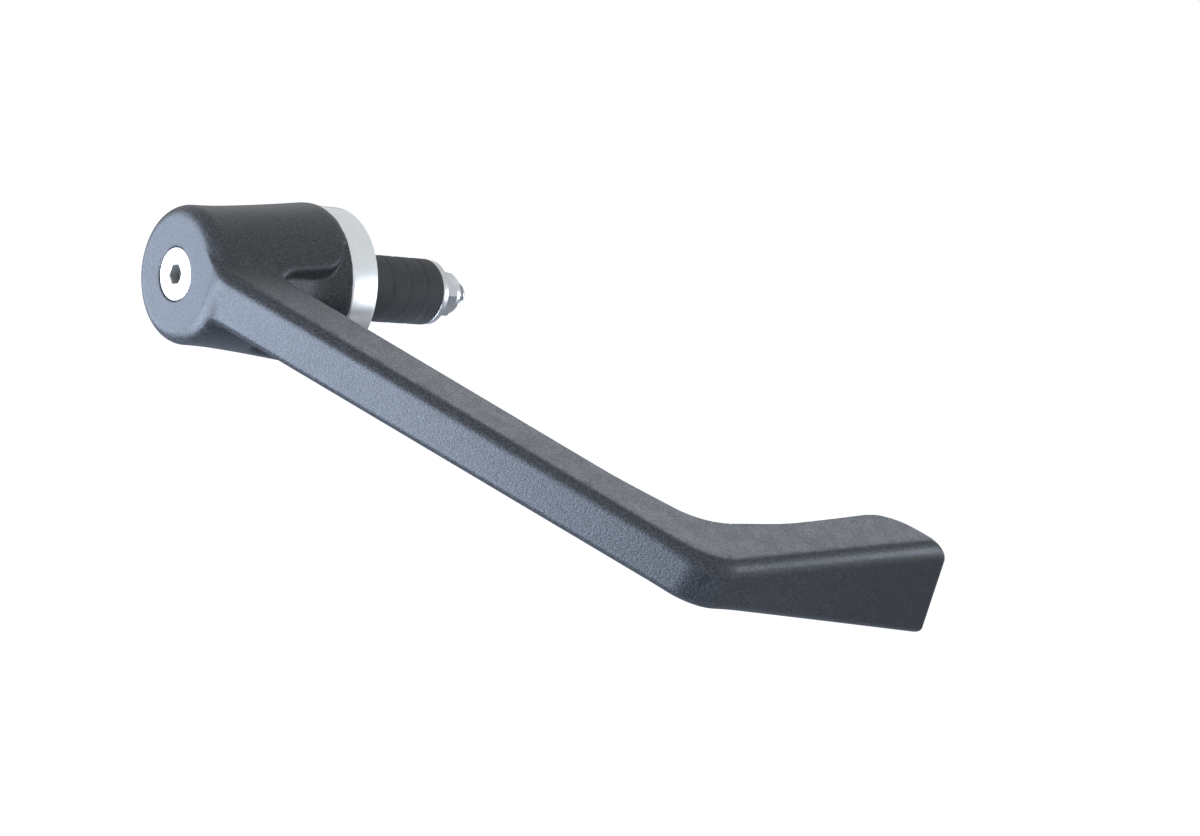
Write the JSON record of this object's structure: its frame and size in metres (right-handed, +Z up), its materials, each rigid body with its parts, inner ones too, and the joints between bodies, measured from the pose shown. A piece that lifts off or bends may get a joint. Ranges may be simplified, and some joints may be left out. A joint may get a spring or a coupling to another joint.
{
  "type": "lever guard",
  "caption": "Cranked moulded guard for the end of a handlebar: a round boss, a slanting arm and a flared tip ahead of the lever, held by a collar, a countersunk screw and a rubber expander.",
  "frame": {"origin": "on the bar's axis, on the collar's inboard face, where the end of the bar rests", "axes": "+X inboard along the bar, -Y forward to the guard's tip, +Z up, square to the plane of the arm"},
  "size_m": [0.159, 0.1277, 0.036],
  "materials": {
    "guard_nylon": "finely textured satin moulding",
    "screw_steel": "bright stainless",
    "collar_aluminium": "satin turned",
    "washer_steel": "satin",
    "expander_rubber": "matt",
    "nut_steel": "zinc plated",
    "ring_nylon": "smooth"
  },
  "bodies": {
    "root": {"guard_moulding": "guard_nylon", "countersunk_screw": "screw_steel", "mounting_collar": "collar_aluminium", "front_washer": "washer_steel", "rubber_expander": "expander_rubber", "rear_washer": "washer_steel", "lock_nut": "nut_steel", "nut_lock_ring": "ring_nylon"}
  },
  "joints": []
}
